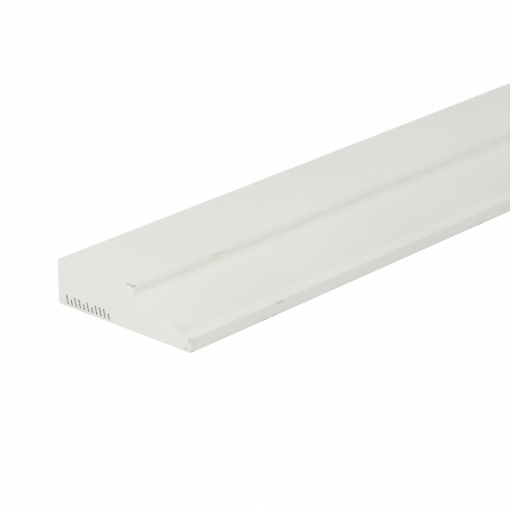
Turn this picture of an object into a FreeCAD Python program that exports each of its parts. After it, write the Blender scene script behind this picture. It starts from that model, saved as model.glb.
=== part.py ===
"""Ogee architrave moulding: one door-height length of primed board trim, lying on its flat back.

The section is drawn in the Y-Z plane and drawn out along X. The thick outer edge is at +Y, and the thin inner edge,
which borders the door opening, is at -Y. The origin is the middle of the back face, so the back lies on Z = 0.
"""

import FreeCAD, Part

import math
import os

# Driving dimensions, in millimetres
LENGTH = 2100.0  # square cut at both ends
WIDTH = 68.0  # across the back, from the inner edge to the outer edge
THICKNESS = 18.0  # at the outer edge
FLAT_WIDTH = 39.1  # plain face, from the outer edge to the step
STEP_HEIGHT = 4.2  # drop from the plain face to the head of the ogee
INNER_EDGE = 5.8  # thickness at the inner edge
LAND_WIDTH = 4.5  # flat between the inner edge and the foot of the ogee
COVE_RADIUS = 3.0  # tight hollow at the foot of the ogee
STEP_ARRIS = 2.1  # sanded rounding of the step's upper edge
STEP_FOOT_RADIUS = 1.3  # inside corner at the foot of the step
FACE_ARRIS = 0.9  # sanded rounding of the outer and inner edges of the moulded face
BACK_ARRIS = 0.5  # rounding of the two long edges of the back

# Lines of the section: distances across it, and heights above the back
INNER = -WIDTH / 2
OUTER = WIDTH / 2
STEP = OUTER - FLAT_WIDTH
BACK = 0.0
OGEE_HEAD = THICKNESS - STEP_HEIGHT

# The two ways that an outside corner points
INWARD, OUTWARD = -1, 1
DOWN, UP = -1, 1

QUARTER_TURN = math.pi / 2
TOUCHING = 1e-6  # curves whose ends are closer than this meet with no flat between them


def arc(across, height, radius, start, turn):
    """An arc of the section about (across, height), from the angle start through turn.

    Angles run from +Y towards +Z, so a positive turn is anticlockwise as seen from the +X end.
    """
    points = []
    for share in (0.0, 0.5, 1.0):
        angle = start + turn * share
        y = across + radius * math.cos(angle)
        z = height + radius * math.sin(angle)
        points.append(FreeCAD.Vector(-LENGTH / 2, y, z))
    return Part.Arc(*points).toShape()


def arris(across, height, side, face, radius):
    """The quarter round of the outside corner at (across, height), which points to side and face."""
    corner_points_to = math.atan2(face, side)
    start = corner_points_to - QUARTER_TURN / 2
    return arc(across - side * radius, height - face * radius, radius, start, QUARTER_TURN)


def step_foot():
    """The inside corner where the step comes down to the head of the ogee."""
    across = STEP - STEP_FOOT_RADIUS
    height = OGEE_HEAD + STEP_FOOT_RADIUS
    return arc(across, height, STEP_FOOT_RADIUS, 0.0, -QUARTER_TURN)


def ogee():
    """The S-curve, as two arcs: level at its head and at its foot, and of one slope where they meet."""
    head = STEP - STEP_FOOT_RADIUS
    foot = INNER + LAND_WIDTH
    run = head - foot
    drop = OGEE_HEAD - INNER_EDGE
    slope = 2 * math.atan2(drop, run)
    swell_radius = run / math.sin(slope) - COVE_RADIUS
    swell = arc(head, OGEE_HEAD - swell_radius, swell_radius, QUARTER_TURN, slope)
    cove = arc(foot, INNER_EDGE + COVE_RADIUS, COVE_RADIUS, slope - QUARTER_TURN, -slope)
    return [swell, cove]


def section(curves):
    """The face of the section: the curves in order, and the flats as straight lines from each to the next."""
    edges = []
    for curve, following in zip(curves, curves[1:] + curves[:1]):
        edges.append(curve)
        end = curve.valueAt(curve.LastParameter)
        start = following.valueAt(following.FirstParameter)
        if end.distanceToPoint(start) > TOUCHING:
            edges.append(Part.LineSegment(end, start).toShape())
    return Part.Face(Part.Wire(edges))


def architrave():
    """The whole moulding, run through the moulder in one piece."""
    curves = [
        arris(INNER, BACK, INWARD, DOWN, BACK_ARRIS),
        arris(OUTER, BACK, OUTWARD, DOWN, BACK_ARRIS),
        arris(OUTER, THICKNESS, OUTWARD, UP, FACE_ARRIS),
        arris(STEP, THICKNESS, INWARD, UP, STEP_ARRIS),
        step_foot(),
        *ogee(),
        arris(INNER, INNER_EDGE, INWARD, UP, FACE_ARRIS),
    ]
    return section(curves).extrude(FreeCAD.Vector(LENGTH, 0, 0))


os.makedirs("parts", exist_ok=True)
architrave().exportStep("parts/architrave.step")
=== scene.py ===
"""A length of ogee architrave in white primer, lying on its back on a studio floor.

The skin of the moulding is made by carrying one long edge round the section, as a cutter would run it. The
ends are then closed, the whole is coated with primer, and the edges are knocked here and there.
"""

import logging
import math
from collections.abc import Callable, Sequence
from dataclasses import dataclass, field
from enum import Enum
from typing import ClassVar

import bpy
from mathutils import Euler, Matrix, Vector


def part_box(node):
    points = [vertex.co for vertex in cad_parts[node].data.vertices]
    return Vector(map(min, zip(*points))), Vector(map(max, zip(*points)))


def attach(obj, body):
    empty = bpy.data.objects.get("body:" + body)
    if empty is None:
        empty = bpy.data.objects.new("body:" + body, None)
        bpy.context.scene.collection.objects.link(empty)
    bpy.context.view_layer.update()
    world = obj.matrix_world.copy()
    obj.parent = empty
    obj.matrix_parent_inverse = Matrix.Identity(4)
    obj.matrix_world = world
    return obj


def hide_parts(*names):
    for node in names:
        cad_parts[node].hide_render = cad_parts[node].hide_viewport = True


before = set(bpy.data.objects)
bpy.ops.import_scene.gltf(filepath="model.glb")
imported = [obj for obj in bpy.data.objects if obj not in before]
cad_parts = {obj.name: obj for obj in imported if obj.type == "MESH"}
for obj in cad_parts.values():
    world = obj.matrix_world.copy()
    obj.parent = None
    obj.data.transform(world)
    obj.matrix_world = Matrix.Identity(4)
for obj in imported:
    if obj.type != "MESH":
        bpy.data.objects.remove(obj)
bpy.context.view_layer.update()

log = logging.getLogger("architrave")

MM = 0.001
NODE = "architrave"
BODY = "root"
QUARTER_TURN = math.pi / 2
BEVEL_SEGMENTS = 3
WHITE = (1.0, 1.0, 1.0, 1.0)


def linear(hex_colour: str) -> tuple[float, float, float, float]:
    """Turns an sRGB hex colour into the linear colour that a shader takes.

    Args:
        hex_colour: a colour such as "#e3e2dd".

    Returns:
        Red, green, blue and an alpha of 1.
    """
    channels = []
    for start in (1, 3, 5):
        value = int(hex_colour[start:start + 2], 16) / 255
        channels.append(value / 12.92 if value <= 0.04045 else ((value + 0.055) / 1.055) ** 2.4)
    return (*channels, 1.0)


def per_metre(size_mm: float) -> float:
    """Gives the scale of a texture whose pattern is size_mm across."""
    return 1.0 / (size_mm * MM)


def add_node(
    tree: bpy.types.NodeTree,
    kind: str,
    settings: dict[str, object] | None = None,
    sockets: dict[str | int, object] | None = None,
) -> bpy.types.Node:
    """Adds one node to a tree, with its settings, its plain values and its links.

    Args:
        tree: the node tree to add to.
        kind: the node's type name.
        settings: attributes of the node, by name.
        sockets: inputs of the node, by name or number: a value, or an output socket to link from.

    Returns:
        The new node.
    """
    node = tree.nodes.new(kind)
    for name, value in (settings or {}).items():
        setattr(node, name, value)
    for name, value in (sockets or {}).items():
        if isinstance(value, bpy.types.NodeSocket):
            tree.links.new(value, node.inputs[name])
        else:
            node.inputs[name].default_value = value
    return node


def new_material(name: str) -> bpy.types.Material:
    """Makes an empty node material.

    Args:
        name: the material's name.

    Returns:
        The material, with no nodes in its tree.
    """
    material = bpy.data.materials.new(name)
    material.use_nodes = True
    material.node_tree.nodes.clear()
    return material


def straight_rays(tree: bpy.types.NodeTree) -> bpy.types.NodeSocket:
    """Tells rays that show a background from rays that only carry its light.

    Args:
        tree: the background's node tree.

    Returns:
        A socket that is 1 where the background is seen, directly or in gloss or glass, and 0 where it only
        gives light.
    """
    path = add_node(tree, "ShaderNodeLightPath")
    seen = path.outputs["Is Camera Ray"]
    for name in ("Is Glossy Ray", "Is Transmission Ray"):
        seen = add_node(tree, "ShaderNodeMath", {"operation": "MAXIMUM"}, {
            0: seen, 1: path.outputs[name]}).outputs["Value"]
    return seen


def deselect_all() -> None:
    """Goes to object mode with nothing selected, because an operator acts on all that is selected."""
    if bpy.context.mode != "OBJECT":
        bpy.ops.object.mode_set(mode="OBJECT")
    bpy.ops.object.select_all(action="DESELECT")


def make_active(piece: bpy.types.Object) -> None:
    """Selects one object alone and makes it the active one.

    Args:
        piece: the object.
    """
    deselect_all()
    piece.select_set(True)
    bpy.context.view_layer.objects.active = piece


def select_edges(piece: bpy.types.Object, wanted: Callable[[list[Vector]], bool]) -> None:
    """Selects edges of a piece by their place, and leaves the piece in edit mode.

    Args:
        piece: the mesh object.
        wanted: a test of an edge's two ends.
    """
    bpy.ops.object.mode_set(mode="EDIT")
    bpy.ops.mesh.select_mode(type="EDGE")
    bpy.ops.mesh.select_all(action="DESELECT")
    bpy.ops.object.mode_set(mode="OBJECT")
    mesh = piece.data
    for edge in mesh.edges:
        edge.select = wanted([mesh.vertices[index].co for index in edge.vertices])
    bpy.ops.object.mode_set(mode="EDIT")


def apply_modifier(piece: bpy.types.Object, kind: str, **settings: object) -> None:
    """Adds a modifier to a piece and applies it.

    Args:
        piece: the mesh object.
        kind: the modifier's type name.
        settings: attributes of the modifier.
    """
    make_active(piece)
    bpy.ops.object.modifier_add(type=kind)
    modifier = piece.modifiers[-1]
    for name, value in settings.items():
        setattr(modifier, name, value)
    bpy.ops.object.modifier_apply(modifier=modifier.name)


def joined(pieces: Sequence[bpy.types.Object]) -> bpy.types.Object:
    """Joins some objects into the first of them.

    Args:
        pieces: the objects, which become one.

    Returns:
        The one object, at the origin with its shape in place.
    """
    make_active(pieces[0])
    for piece in pieces:
        piece.select_set(True)
    bpy.ops.object.join()
    bpy.ops.object.transform_apply(location=True, rotation=True, scale=True)
    return bpy.context.object


@dataclass(frozen=True)
class StainOrPaintedLight:
    """A soft patch on the primer: a stain where dust or handling has left a trace, or painted light or
    painted shade.

    Attributes:
        centre: along from the near end, across from the inner edge and up from the back, in millimetres.
        reach: how far it goes from its centre each way, in millimetres.
        colour: the colour that the patch goes towards.
        strength: how far it goes there at the centre.
    """

    centre: tuple[float, float, float]
    reach: tuple[float, float, float]
    colour: str
    strength: float


@dataclass(frozen=True)
class WhitePrimer:
    """Acrylic primer, sprayed on and flatted: an off-white, nearly matt coat that hides the board.

    Attributes:
        coat: the coat where it is full.
        thin_coat: the coat where it is thin, and the board greys it.
        step_light: painted light in the foot of the step and on the head of the ogee, lifting their shade.
        low_grey: the colour that the lowest part of the edges greys towards, in patches.
        roughness: of the dry coat.
        ior: of the acrylic binder.
        mottle_mm: the size of the patches of full and thin coat.
        step_light_mm: how far from the middle of its line the painted light reaches.
        low_grey_height_mm: how far up the edges the greying goes.
        low_grey_patch_mm: the size of the grey patches.
        low_grey_range: the values of the patchy noise at which the grey sets in and is at its most.
        low_grey_share: how much grey there is at most.
        peel_mm: the size of the dimples that spraying leaves.
        peel_depth_mm: how deep the dimples are.
    """

    coat: str = "#edece8"
    thin_coat: str = "#e7e6e1"
    step_light: str = "#edece8"
    low_grey: str = "#b9b4a6"
    roughness: float = 0.62
    ior: float = 1.48
    mottle_mm: float = 45.0
    step_light_mm: float = 7.0
    low_grey_height_mm: float = 0.9
    low_grey_patch_mm: float = 9.0
    low_grey_range: tuple[float, float] = (0.4, 0.7)
    low_grey_share: float = 0.22
    peel_mm: float = 1.4
    peel_depth_mm: float = 0.012

    def material(self, corner: Vector, step_light_line: Vector, stains_and_painted_light: Sequence[StainOrPaintedLight]) -> bpy.types.Material:
        """Makes the primer's material.

        Args:
            corner: the near end's inner edge at the back, which the patches are measured from.
            step_light_line: a point of the line along which painted light lifts the shade in the foot of the
                step.
            stains_and_painted_light: the stains on this piece, and its patches of painted light and painted
                shade.

        Returns:
            The material.
        """
        # Primer is chalky, with a faint sheen at most, so the rounds show as soft steps of pale grey
        material = new_material("acrylic_primer")
        tree = material.node_tree
        place = add_node(tree, "ShaderNodeTexCoord").outputs["Object"]

        # The coat is never quite even, so it goes from full to a little thin in broad patches
        mottle = add_node(tree, "ShaderNodeTexNoise", sockets={
            "Vector": place, "Scale": per_metre(self.mottle_mm), "Detail": 3.0, "Roughness": 0.55})
        colour = add_node(tree, "ShaderNodeMix", {"data_type": "RGBA"}, {
            "Factor": mottle.outputs["Fac"], 6: linear(self.coat), 7: linear(self.thin_coat)}).outputs[2]
        # Painted light: the coat is whitened about the foot of the step, lifting the shade there
        colour = self._lit_at_step(tree, place, colour, step_light_line)
        # The lowest part of the edges is greyer in patches, close to the back
        colour = self._greyed_low(tree, place, colour, corner.z)
        # Real stains, and patches of painted light and painted shade, laid over the coat
        for stain_or_light in stains_and_painted_light:
            colour = self._stained_or_lit(tree, place, colour, corner, stain_or_light)

        # Spraying leaves a fine orange peel
        peel = add_node(tree, "ShaderNodeTexNoise", sockets={
            "Vector": place, "Scale": per_metre(self.peel_mm), "Detail": 2.0})
        bump = add_node(tree, "ShaderNodeBump", sockets={
            "Height": peel.outputs["Fac"], "Strength": 1.0, "Distance": self.peel_depth_mm * MM})
        shader = add_node(tree, "ShaderNodeBsdfPrincipled", sockets={
            "Base Color": colour, "Roughness": self.roughness, "IOR": self.ior,
            "Normal": bump.outputs["Normal"]})
        add_node(tree, "ShaderNodeOutputMaterial", sockets={"Surface": shader.outputs["BSDF"]})
        return material

    def _lit_at_step(
        self,
        tree: bpy.types.NodeTree,
        place: bpy.types.NodeSocket,
        colour: bpy.types.NodeSocket,
        step_light_line: Vector,
    ) -> bpy.types.NodeSocket:
        """Whitens a colour along a line by the foot of the step: painted light that lifts the shade there.

        Args:
            tree: the primer's node tree.
            place: the place on the piece.
            colour: the colour so far.
            step_light_line: a point of that line.

        Returns:
            The colour with the painted light.
        """
        from_point = add_node(tree, "ShaderNodeVectorMath", {"operation": "SUBTRACT"}, {
            0: place, 1: step_light_line}).outputs["Vector"]
        from_line = add_node(tree, "ShaderNodeVectorMath", {"operation": "MULTIPLY"}, {
            0: from_point, 1: (0.0, 1.0, 1.0)}).outputs["Vector"]
        distance = add_node(tree, "ShaderNodeVectorMath", {"operation": "LENGTH"}, {
            0: from_line}).outputs["Value"]
        amount = add_node(tree, "ShaderNodeMapRange", {"interpolation_type": "SMOOTHSTEP"}, {
            "Value": distance, "From Min": self.step_light_mm * MM, "From Max": 0.0}).outputs["Result"]
        return add_node(tree, "ShaderNodeMix", {"data_type": "RGBA"}, {
            "Factor": amount, 6: colour, 7: linear(self.step_light)}).outputs[2]

    def _greyed_low(
        self,
        tree: bpy.types.NodeTree,
        place: bpy.types.NodeSocket,
        colour: bpy.types.NodeSocket,
        ground: float,
    ) -> bpy.types.NodeSocket:
        """Greys a colour in patches close to the ground.

        Args:
            tree: the primer's node tree.
            place: the place on the piece.
            colour: the colour so far.
            ground: the height of the piece's back.

        Returns:
            The colour, greyed close to the ground.
        """
        height = add_node(tree, "ShaderNodeSeparateXYZ", sockets={0: place}).outputs["Z"]
        ungreyed_above = ground + self.low_grey_height_mm * MM
        low = add_node(tree, "ShaderNodeMapRange", {"interpolation_type": "SMOOTHSTEP"}, {
            "Value": height, "From Min": ungreyed_above, "From Max": ground}).outputs["Result"]
        patches = add_node(tree, "ShaderNodeTexNoise", sockets={
            "Vector": place, "Scale": per_metre(self.low_grey_patch_mm), "Detail": 3.0}).outputs["Fac"]
        sets_in, fullest = self.low_grey_range
        patchy = add_node(tree, "ShaderNodeMapRange", sockets={
            "Value": patches, "From Min": sets_in, "From Max": fullest,
            "To Max": self.low_grey_share}).outputs["Result"]
        amount = add_node(tree, "ShaderNodeMath", {"operation": "MULTIPLY"}, {
            0: low, 1: patchy}).outputs["Value"]
        return add_node(tree, "ShaderNodeMix", {"data_type": "RGBA"}, {
            "Factor": amount, 6: colour, 7: linear(self.low_grey)}).outputs[2]

    def _stained_or_lit(
        self,
        tree: bpy.types.NodeTree,
        place: bpy.types.NodeSocket,
        colour: bpy.types.NodeSocket,
        corner: Vector,
        stain_or_light: StainOrPaintedLight,
    ) -> bpy.types.NodeSocket:
        """Lays one stain, or one patch of painted light or shade, over a colour.

        Args:
            tree: the primer's node tree.
            place: the place on the piece.
            colour: the colour so far.
            corner: where the patch is measured from.
            stain_or_light: the stain, or the patch of painted light or shade.

        Returns:
            The colour with the patch on it.
        """
        centre = corner + Vector(stain_or_light.centre) * MM
        from_centre = add_node(tree, "ShaderNodeVectorMath", {"operation": "SUBTRACT"}, {
            0: place, 1: centre}).outputs["Vector"]
        in_reaches = add_node(tree, "ShaderNodeVectorMath", {"operation": "DIVIDE"}, {
            0: from_centre, 1: Vector(stain_or_light.reach) * MM}).outputs["Vector"]
        distance = add_node(tree, "ShaderNodeVectorMath", {"operation": "LENGTH"}, {
            0: in_reaches}).outputs["Value"]
        amount = add_node(tree, "ShaderNodeMapRange", {"interpolation_type": "SMOOTHSTEP"}, {
            "Value": distance, "From Min": 1.0, "From Max": 0.0, "To Max": stain_or_light.strength}).outputs["Result"]
        return add_node(tree, "ShaderNodeMix", {"data_type": "RGBA"}, {
            "Factor": amount, 6: colour, 7: linear(stain_or_light.colour)}).outputs[2]


@dataclass(frozen=True)
class BareBoard:
    """Board laid bare by a knock: dull fibre, a little dirty, darker than the primer round it.

    Attributes:
        clean: the fibre itself.
        dirty: the fibre where dirt has got in.
        roughness: of the torn fibre.
        fibre_mm: the size of the tufts.
    """

    clean: str = "#d0cfc3"
    dirty: str = "#b3b2a4"
    roughness: float = 0.9
    fibre_mm: float = 0.6

    def material(self) -> bpy.types.Material:
        """Makes the material of the chips' faces.

        Returns:
            The material.
        """
        # Torn fibre is dull and uneven, so a chip shows as a soft greyish fleck
        material = new_material("bare_board")
        tree = material.node_tree
        place = add_node(tree, "ShaderNodeTexCoord").outputs["Object"]
        fibre = add_node(tree, "ShaderNodeTexNoise", sockets={
            "Vector": place, "Scale": per_metre(self.fibre_mm), "Detail": 3.0})
        colour = add_node(tree, "ShaderNodeMix", {"data_type": "RGBA"}, {
            "Factor": fibre.outputs["Fac"], 6: linear(self.clean), 7: linear(self.dirty)}).outputs[2]
        shader = add_node(tree, "ShaderNodeBsdfPrincipled", sockets={
            "Base Color": colour, "Roughness": self.roughness})
        add_node(tree, "ShaderNodeOutputMaterial", sockets={"Surface": shader.outputs["BSDF"]})
        return material


@dataclass(frozen=True)
class StampInk:
    """Marking ink that has soaked into the primer: dark grey and dull, paler where the stamp pressed lightly.

    Attributes:
        full: the ink where the stamp pressed well.
        light: the ink where it pressed lightly.
        roughness: of the dry ink.
        blot_mm: the size of the lighter blots.
        blot_range: the values of the blotchy noise at which the ink begins to pale and is at its palest.
    """

    full: str = "#4b4a4b"
    light: str = "#8d8b89"
    roughness: float = 0.8
    blot_mm: float = 0.9
    blot_range: tuple[float, float] = (0.35, 0.65)

    def material(self) -> bpy.types.Material:
        """Makes the ink's material.

        Returns:
            The material.
        """
        # Soaked-in ink has no gloss of its own, and its blots break the dashes up
        material = new_material("stamp_ink")
        tree = material.node_tree
        place = add_node(tree, "ShaderNodeTexCoord").outputs["Object"]
        blots = add_node(tree, "ShaderNodeTexNoise", sockets={
            "Vector": place, "Scale": per_metre(self.blot_mm), "Detail": 2.0}).outputs["Fac"]
        begins, palest = self.blot_range
        paleness = add_node(tree, "ShaderNodeMapRange", sockets={
            "Value": blots, "From Min": begins, "From Max": palest}).outputs["Result"]
        colour = add_node(tree, "ShaderNodeMix", {"data_type": "RGBA"}, {
            "Factor": paleness, 6: linear(self.full), 7: linear(self.light)}).outputs[2]
        shader = add_node(tree, "ShaderNodeBsdfPrincipled", sockets={
            "Base Color": colour, "Roughness": self.roughness})
        add_node(tree, "ShaderNodeOutputMaterial", sockets={"Surface": shader.outputs["BSDF"]})
        return material


@dataclass(frozen=True)
class WhitePaper:
    """Matt paper under bright light: close to plain white, with a trace of the piece's soft shadow.

    Attributes:
        colour: the paper, as it is lit.
        shown: how much of it the camera sees as plain white, the rest being its lit surface with the shadow.
    """

    colour: str = "#f8f8f8"
    shown: float = 0.96

    def material(self) -> bpy.types.Material:
        """Makes the paper's material.

        Returns:
            The material.
        """
        # Paper has no gloss, so nothing is mirrored in it and only the shadow tells it from the sky
        material = new_material("white_paper")
        tree = material.node_tree
        paper = add_node(tree, "ShaderNodeBsdfDiffuse", sockets={"Color": linear(self.colour)})
        white = add_node(tree, "ShaderNodeEmission", sockets={"Color": WHITE, "Strength": 1.0})
        share = add_node(tree, "ShaderNodeMath", {"operation": "MULTIPLY"}, {
            0: straight_rays(tree), 1: self.shown}).outputs["Value"]
        mix = add_node(tree, "ShaderNodeMixShader", sockets={
            "Fac": share, 1: paper.outputs["BSDF"], 2: white.outputs["Emission"]})
        add_node(tree, "ShaderNodeOutputMaterial", sockets={"Surface": mix.outputs["Shader"]})
        return material


class Tick(Enum):
    """A stroke of the tick row, by the number of dashes that it is broken into."""

    SHORT = 2
    TALL = 3


@dataclass(frozen=True)
class TickRow:
    """A row of plain ink ticks, stamped on the near end. Sizes are in millimetres.

    Attributes:
        first: the middle of the first tick's foot, across from the inner edge and up from the back.
        pitch: from one tick to the next, along the back and towards the inner edge.
        dash: one dash across and up.
        gap: between the dashes of one tick.
        lean: how far the ticks lean, in degrees.
        depth: how far the stamp has pressed in.
        stand_off: how far the stamp stands out of the end, so that it cuts the surface cleanly.
        rounding: radius of a dash's corners, as a share of its width.
        row: the ticks in order.
    """

    first: tuple[float, float] = (63.0, 1.0)
    pitch: float = 2.15
    dash: tuple[float, float] = (0.66, 1.06)
    gap: float = 0.12
    lean: float = -14.0
    depth: float = 0.02
    stand_off: float = 0.2
    rounding: float = 0.3
    row: tuple[Tick, ...] = (
        Tick.TALL, Tick.SHORT, Tick.TALL, Tick.TALL, Tick.SHORT, Tick.TALL,
        Tick.SHORT, Tick.TALL, Tick.TALL, Tick.TALL, Tick.SHORT)

    def stamp(self, corner: Vector) -> bpy.types.Object:
        """Makes the stamp's raised dashes, as they stand when the stamp is pressed on the end.

        Args:
            corner: where the row is measured from.

        Returns:
            All the dashes as one object.
        """
        dash = self._dash()
        dashes = [dash]
        lean = math.radians(self.lean)
        for number, tick in enumerate(self.row):
            for above in range(tick.value):
                rise = (above + 0.5) * (self.dash[1] + self.gap)
                across = self.first[0] - number * self.pitch - math.sin(lean) * rise
                up = self.first[1] + math.cos(lean) * rise
                copy = dash.copy()
                copy.data = dash.data.copy()
                bpy.context.collection.objects.link(copy)
                copy.location = corner + Vector((0.0, across, up)) * MM
                copy.rotation_euler = (lean, 0.0, 0.0)
                dashes.append(copy)
        bpy.data.objects.remove(dashes.pop(0))
        return joined(dashes)

    def _dash(self) -> bpy.types.Object:
        """Models one dash with rounded corners, its face pressed in by the depth.

        Returns:
            The dash, at the origin.
        """
        deselect_all()
        bpy.ops.mesh.primitive_cube_add(size=1.0)
        dash = bpy.context.object
        bpy.ops.object.mode_set(mode="EDIT")
        width, height = self.dash
        bpy.ops.transform.resize(value=((self.stand_off + self.depth) * MM, width * MM, height * MM))
        bpy.ops.transform.translate(value=((self.depth - self.stand_off) / 2 * MM, 0.0, 0.0))
        select_edges(dash, lambda ends: abs(ends[0].x - ends[1].x) > self.depth * MM)
        bpy.ops.mesh.bevel(offset=self.rounding * width * MM, segments=BEVEL_SEGMENTS, affect="EDGES")
        bpy.ops.object.mode_set(mode="OBJECT")
        return dash


@dataclass(frozen=True)
class Chip:
    """A flake knocked out of an edge. A rough lump is sunk into the edge and what it covers is taken away.

    Attributes:
        centre: the lump's middle, along from the near end, across from the inner edge and up from the back,
            in millimetres.
        size: the lump's half sizes along, across and up, in millimetres.
        turn: how the lump is turned about the three axes, in degrees.
        ruggedness: how far its points are pushed about, as a share of its size.
    """

    centre: tuple[float, float, float]
    size: tuple[float, float, float]
    turn: tuple[float, float, float] = (0.0, 0.0, 0.0)
    ruggedness: float = 0.16

    def lump(self, corner: Vector, seed: int) -> bpy.types.Object:
        """Makes the lump that cuts this chip.

        Args:
            corner: where the chip is measured from.
            seed: which roughness this lump gets.

        Returns:
            The lump, at its place.
        """
        deselect_all()
        bpy.ops.mesh.primitive_ico_sphere_add(subdivisions=2, radius=1.0)
        lump = bpy.context.object
        bpy.ops.object.mode_set(mode="EDIT")
        bpy.ops.transform.vertex_random(offset=self.ruggedness, seed=seed)
        bpy.ops.object.mode_set(mode="OBJECT")
        lump.scale = Vector(self.size) * MM
        lump.rotation_euler = Euler([math.radians(angle) for angle in self.turn])
        lump.location = corner + Vector(self.centre) * MM
        bpy.ops.object.transform_apply(location=True, rotation=True, scale=True)
        return lump


@dataclass
class EdgeWalk:
    """One long edge that is carried round the section and leaves the skin of the moulding behind it.

    Attributes:
        place: where the edge is, in metres.
        heading: the way that it goes next, from +Y towards +Z, in radians.
        flatness: how far a round's facets may lie from the true round, in millimetres.
    """

    place: Vector
    heading: float
    flatness: float

    def straight(self, width: float) -> None:
        """Leaves a flat.

        Args:
            width: the width of the flat, in millimetres.
        """
        step = Vector((0.0, math.cos(self.heading), math.sin(self.heading))) * (width * MM)
        bpy.ops.mesh.extrude_edges_move(TRANSFORM_OT_translate={"value": step})
        self.place += step

    def turn(self, radius: float, angle: float) -> None:
        """Leaves a round.

        Args:
            radius: the radius of the round, in millimetres.
            angle: how far the heading turns, in radians: positive round an outside corner and negative round
                an inside one.
        """
        aside = Vector((0.0, -math.sin(self.heading), math.cos(self.heading)))
        centre = self.place + aside * math.copysign(radius * MM, angle)
        facet = 2 * math.acos(1 - self.flatness / radius)
        facets = math.ceil(abs(angle) / facet)
        # The spin turns against its axis, so the axis points back along the length
        bpy.ops.mesh.spin(steps=facets, angle=angle, center=centre, axis=(-1.0, 0.0, 0.0))
        from_centre = self.place - centre
        from_centre.rotate(Euler((angle, 0.0, 0.0)))
        self.place = centre + from_centre
        self.heading += angle


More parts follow.
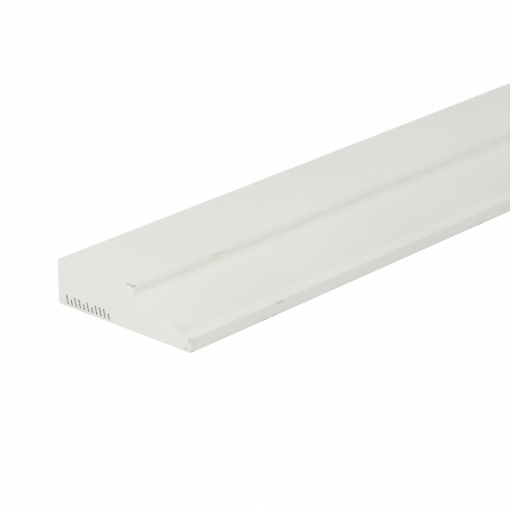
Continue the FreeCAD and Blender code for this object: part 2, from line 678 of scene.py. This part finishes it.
@dataclass
class Architrave:
    """The moulding, from its back to its knocked edges. Sizes are in millimetres.

    Attributes:
        flat_width: plain face, from the outer edge to the step.
        step_height: drop from the plain face to the head of the ogee.
        inner_edge: thickness at the inner edge.
        land_width: flat between the inner edge and the foot of the ogee.
        cove_radius: tight hollow at the foot of the ogee.
        step_arris: rounding of the step's upper edge.
        step_foot_radius: inside corner at the foot of the step.
        face_arris: rounding of the outer and inner edges of the moulded face.
        back_arris: rounding of the long edges of the back.
        end_arris: rounding of the edges of the two sawn ends.
        step_light_offset: from the step to the line on the ogee's head along which painted light lifts the
            shade in the step's foot.
        close_stretch: length from the near end that is divided finely.
        divisions: how many times each stretch of the length is divided.
        low: the near end's inner edge at the back, in metres. Chips, stains and painted light and shade are
            measured from it.
        high: the far end's outer edge at the face, in metres.
        piece: the mesh object that is being modelled.
    """

    flat_width: float = 39.1
    step_height: float = 4.2
    inner_edge: float = 5.8
    land_width: float = 4.5
    cove_radius: float = 3.0
    step_arris: float = 2.1
    step_foot_radius: float = 1.3
    face_arris: float = 0.9
    back_arris: float = 1.0
    end_arris: float = 0.02
    step_light_offset: float = 4.0
    close_stretch: float = 360.0
    divisions: int = 100

    low: Vector = field(init=False)
    high: Vector = field(init=False)
    piece: bpy.types.Object = field(init=False)

    # Facets lie this close to a true round, and points this close are one point, in millimetres
    FLATNESS: ClassVar[float] = 0.005
    MERGE: ClassVar[float] = 0.001

    # Faces that meet at less than this many degrees are shaded as one round, in which the broad ones lead
    SMOOTH_BELOW: ClassVar[float] = 40.0
    BROAD_FACE_WEIGHT: ClassVar[int] = 100

    CHIPS: ClassVar[tuple[Chip, ...]] = (
        # The step's upper edge: a sliver at the near end and a nick further on
        Chip((0.15, 31.1, 18.07), (0.5, 2.8, 0.39), (8.0, 0.0, 0.0)),
        Chip((0.95, 29.38, 17.34), (1.05, 0.62, 0.15), (40.0, 0.0, 0.0)),
        Chip((44.2, 29.09, 16.83), (4.2, 0.12, 0.06), (0.0, 2.0, 0.0)),
        # The thin inner edge, on its upper line and on its lower line
        Chip((46.6, -0.28, 5.0), (3.4, 0.4, 0.3), (0.0, 0.0, 1.0)),
        Chip((39.0, -0.04, 0.45), (2.6, 0.38, 0.42), (0.0, -1.0, 0.0)),
        Chip((44.3, -0.07, 0.4), (3.0, 0.36, 0.36)),
        # The near end, close to its corner
        Chip((-0.36, 0.95, 4.68), (0.4, 0.46, 0.46), (10.0, 20.0, 30.0)),
        Chip((-0.36, 3.0, 0.95), (0.4, 0.5, 0.42), (30.0, 10.0, 10.0)),
        Chip((0.15, -0.02, 0.45), (0.5, 0.45, 0.45), (0.0, 40.0, 10.0)),
        # The lower line of the inner edge again, further along
        Chip((161.6, -0.06, 0.4), (0.9, 0.36, 0.36)),
        Chip((168.0, 0.02, 0.42), (2.2, 0.4, 0.45)),
    )
    STAINS_AND_PAINTED_LIGHT: ClassVar[tuple[StainOrPaintedLight, ...]] = (
        # Painted light on the step's upright face, all along, lifting its shade
        StainOrPaintedLight((1050.0, 28.9, 15.5), (3000.0, 1.7, 2.0), "#f6f5f2", 0.5),
        # Painted shade in the hollow by the near end
        StainOrPaintedLight((2.6, 7.2, 7.0), (3.6, 4.4, 3.8), "#b5b3a6", 0.1),
        StainOrPaintedLight((7.5, 5.8, 6.2), (7.0, 3.4, 2.6), "#b5b3a6", 0.06),
        # Handling has yellowed the step about its nick, and greyed the nick itself and the inner edge
        StainOrPaintedLight((45.0, 29.0, 15.8), (11.0, 2.2, 2.6), "#f0f0d6", 0.3),
        StainOrPaintedLight((46.0, 29.15, 16.9), (8.0, 0.9, 0.9), "#bdbba6", 0.12),
        StainOrPaintedLight((46.9, 0.0, 4.8), (5.0, 1.2, 1.0), "#c4c2b0", 0.3),
        # The near corner has yellowed too, and is grimy about its chips
        StainOrPaintedLight((0.5, 0.4, 3.4), (5.0, 1.4, 3.6), "#dad8ba", 0.3),
        StainOrPaintedLight((0.0, 1.0, 4.68), (1.2, 1.6, 1.6), "#a39c88", 0.38),
        StainOrPaintedLight((0.0, 3.0, 0.95), (1.2, 1.7, 1.3), "#a39c88", 0.3),
        StainOrPaintedLight((0.0, 0.3, 1.2), (1.2, 1.2, 2.0), "#b0a994", 0.2),
    )

    def build(self) -> bpy.types.Object:
        """Models the moulding and puts it in the place of its solid.

        Returns:
            The finished piece.
        """
        self.low, self.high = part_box(NODE)
        self.piece = self._back()
        self._walk_section()
        self._divide_length()
        self._close_ends()
        self._mark()
        self._dress()
        return self.piece

    def _back(self) -> bpy.types.Object:
        """Lays down the flat of the back, with its outer long edge selected.

        Returns:
            The flat, in edit mode.
        """
        deselect_all()
        bpy.ops.mesh.primitive_plane_add(size=1.0)
        piece = bpy.context.object
        piece.name = NODE + "_primed"
        size = self.high - self.low
        flat = size.y - 2 * self.back_arris * MM
        bpy.ops.object.mode_set(mode="EDIT")
        bpy.ops.transform.resize(value=(size.x, flat, 1.0))
        select_edges(piece, lambda ends: all(end.y > 0 for end in ends))
        return piece

    def _walk_section(self) -> None:
        """Carries the outer edge of the back round the section until it meets the inner edge."""
        width = (self.high.y - self.low.y) / MM
        thickness = (self.high.z - self.low.z) / MM
        run = width - self.flat_width - self.step_foot_radius - self.land_width
        drop = thickness - self.step_height - self.inner_edge
        slope = 2 * math.atan2(drop, run)
        swell_radius = run / math.sin(slope) - self.cove_radius

        start = Vector((0.0, self.high.y - self.back_arris * MM, self.low.z))
        walk = EdgeWalk(start, 0.0, self.FLATNESS)
        walk.turn(self.back_arris, QUARTER_TURN)
        walk.straight(thickness - self.back_arris - self.face_arris)
        walk.turn(self.face_arris, QUARTER_TURN)
        walk.straight(self.flat_width - self.face_arris - self.step_arris)
        walk.turn(self.step_arris, QUARTER_TURN)
        walk.straight(self.step_height - self.step_arris - self.step_foot_radius)
        walk.turn(self.step_foot_radius, -QUARTER_TURN)
        walk.turn(swell_radius, slope)
        walk.turn(self.cove_radius, -slope)
        walk.straight(self.land_width - self.face_arris)
        walk.turn(self.face_arris, QUARTER_TURN)
        walk.straight(self.inner_edge - self.face_arris - self.back_arris)
        walk.turn(self.back_arris, QUARTER_TURN)
        bpy.ops.mesh.select_all(action="SELECT")
        bpy.ops.mesh.remove_doubles(threshold=self.MERGE * MM)

    def _divide_length(self) -> None:
        """Divides the length, finely near the camera and coarsely beyond."""
        limit = self.low.x + self.close_stretch * MM
        bpy.ops.mesh.bisect(plane_co=(limit, 0.0, 0.0), plane_no=(1.0, 0.0, 0.0))
        for near in (True, False):
            def in_stretch(ends: list[Vector], near: bool = near) -> bool:
                """Tells whether an edge runs along this stretch."""
                middle = (ends[0].x + ends[1].x) / 2
                return abs(ends[0].x - ends[1].x) > self.MERGE * MM and (middle < limit) == near

            select_edges(self.piece, in_stretch)
            bpy.ops.mesh.subdivide(number_cuts=self.divisions)

    def _close_ends(self) -> None:
        """Closes the two sawn ends and takes off their sharp edges."""
        for end in (self.low.x, self.high.x):
            def at_end(ends: list[Vector], end: float = end) -> bool:
                """Tells whether an edge lies in this end."""
                return all(abs(point.x - end) < self.MERGE * MM for point in ends)

            select_edges(self.piece, at_end)
            bpy.ops.mesh.edge_face_add()
            bpy.ops.mesh.region_to_loop()
            bpy.ops.mesh.bevel(
                offset=self.end_arris * MM, segments=BEVEL_SEGMENTS, affect="EDGES", clamp_overlap=True)
        bpy.ops.mesh.select_all(action="SELECT")
        bpy.ops.mesh.remove_doubles(threshold=self.MERGE * MM)
        bpy.ops.mesh.normals_make_consistent(inside=False)
        bpy.ops.object.mode_set(mode="OBJECT")

    def _mark(self) -> None:
        """Coats the piece, takes the chips out of its edges, down to bare board, and stamps its near end."""
        # The line along which painted light lifts the shade in the foot of the step
        step_light_line = self.high - Vector((0.0, self.flat_width + self.step_light_offset, self.step_height)) * MM
        self.piece.data.materials.append(WhitePrimer().material(self.low, step_light_line, self.STAINS_AND_PAINTED_LIGHT))
        board = BareBoard().material()
        # Some lumps run into each other, so they are cut one at a time
        for seed, chip in enumerate(self.CHIPS):
            self._cut(chip.lump(self.low, seed), board)
        self._cut(TickRow().stamp(self.low), StampInk().material())

    def _cut(self, cutter: bpy.types.Object, material: bpy.types.Material) -> None:
        """Takes what a cutter covers away from the piece.

        Args:
            cutter: a closed object, which is used up.
            material: what the cut lays bare.
        """
        cutter.data.materials.append(material)
        apply_modifier(self.piece, "BOOLEAN", object=cutter, operation="DIFFERENCE", solver="EXACT",
                       material_mode="TRANSFER")
        bpy.data.objects.remove(cutter)

    def _dress(self) -> None:
        """Shades the piece smoothly over its rounds and flat over its flats, and hangs it on the frame."""
        make_active(self.piece)
        bpy.ops.object.shade_smooth_by_angle(angle=math.radians(self.SMOOTH_BELOW))
        apply_modifier(self.piece, "WEIGHTED_NORMAL", mode="FACE_AREA", weight=self.BROAD_FACE_WEIGHT,
                       keep_sharp=True)
        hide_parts(NODE)
        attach(self.piece, BODY)


@dataclass(frozen=True)
class SoftBox:
    """A square lamp with a soft face. Places are measured from the near end's inner edge at the back, in mm.

    Attributes:
        name: which of the studio's boxes it is.
        place: the middle of its face.
        aim: where it points.
        size: the side of its face.
        watts: its power.
    """

    name: str
    place: tuple[float, float, float]
    aim: tuple[float, float, float]
    size: float
    watts: float

    def hang(self, corner: Vector) -> None:
        """Hangs the box in its place.

        Args:
            corner: where its place is measured from.
        """
        deselect_all()
        place = corner + Vector(self.place) * MM
        aim = corner + Vector(self.aim) * MM
        bpy.ops.object.light_add(type="AREA", location=place)
        lamp = bpy.context.object
        lamp.name = self.name + "_box"
        lamp.rotation_euler = (aim - place).to_track_quat("-Z", "Y").to_euler()
        lamp.data.shape = "SQUARE"
        lamp.data.size = self.size * MM
        lamp.data.energy = self.watts
        lamp.visible_camera = False


@dataclass(frozen=True)
class Studio:
    """A white floor under a white sky, with soft boxes about the near end.

    Attributes:
        sky: how strongly the sky lights the piece, where 1 renders a colour as it is written.
        floor_side: the side of the square floor, in metres.
        floor_gap: between the piece's back and the floor, in millimetres, so that neither shows through the
            other.
        boxes: the soft boxes that light the near end and the stretch behind it.
    """

    sky: float = 0.73
    floor_side: float = 60.0
    floor_gap: float = 0.05
    boxes: tuple[SoftBox, ...] = (
        SoftBox("key", (-120.0, 0.0, 420.0), (0.0, 34.0, 10.0), 350.0, 0.43),
        SoftBox("fill", (-450.0, -100.0, 80.0), (0.0, 34.0, 10.0), 150.0, 0.207),
    )

    def build(self, corner: Vector) -> None:
        """Lights the scene and lays the floor.

        Args:
            corner: the near end's inner edge at the back.
        """
        self._sky()
        self._floor(corner.z)
        for box in self.boxes:
            box.hang(corner)
        bpy.context.scene.view_settings.view_transform = "Standard"

    def _sky(self) -> None:
        """Makes the even white sky, which is shown as plain white."""
        world = bpy.data.worlds.new("studio_sky")
        bpy.context.scene.world = world
        world.use_nodes = True
        tree = world.node_tree
        tree.nodes.clear()
        strength = add_node(tree, "ShaderNodeMix", {"data_type": "FLOAT"}, {
            "Factor": straight_rays(tree), 2: self.sky, 3: 1.0}).outputs[0]
        sky = add_node(tree, "ShaderNodeBackground", sockets={"Color": WHITE, "Strength": strength})
        add_node(tree, "ShaderNodeOutputWorld", sockets={"Surface": sky.outputs["Background"]})

    def _floor(self, height: float) -> None:
        """Lays the floor under the piece.

        Args:
            height: where the piece's back lies.
        """
        deselect_all()
        place = (0.0, 0.0, height - self.floor_gap * MM)
        bpy.ops.mesh.primitive_plane_add(size=self.floor_side, location=place)
        floor = bpy.context.object
        floor.name = "studio_floor"
        floor.data.materials.append(WhitePaper().material())


@dataclass(frozen=True)
class ViewPoint:
    """Where the photograph was taken from.

    Attributes:
        place: the lens, measured from the near end's inner edge at the back, in millimetres.
        bearing: which way it looks, from +X towards +Y, in degrees.
        dip: how far it looks down, in degrees.
        lens: focal length, in millimetres.
        sensor: width of the sensor, in millimetres.
        clip: the nearest and the farthest that it sees, in metres.
    """

    place: tuple[float, float, float] = (-612.23, -583.54, 382.58)
    bearing: float = 42.107
    dip: float = 22.182
    lens: float = 184.057
    sensor: float = 36.0
    clip: tuple[float, float] = (0.05, 200.0)

    def build(self, corner: Vector) -> None:
        """Sets up the camera.

        Args:
            corner: where its place is measured from.
        """
        deselect_all()
        # An unturned camera looks straight down, with +Y at the top of its picture
        turn = Euler((math.radians(90.0 - self.dip), 0.0, math.radians(self.bearing - 90.0)))
        bpy.ops.object.camera_add(location=corner + Vector(self.place) * MM, rotation=turn)
        camera = bpy.context.object
        camera.data.lens = self.lens
        camera.data.sensor_width = self.sensor
        camera.data.clip_start, camera.data.clip_end = self.clip
        bpy.context.scene.camera = camera


def main() -> None:
    """Builds the moulding, the studio and the camera."""
    logging.basicConfig(level=logging.INFO, format="%(name)s: %(message)s")
    moulding = Architrave()
    piece = moulding.build()
    log.info("%s: %d faces", piece.name, len(piece.data.polygons))
    Studio().build(moulding.low)
    ViewPoint().build(moulding.low)


if __name__ == "__main__":
    main()
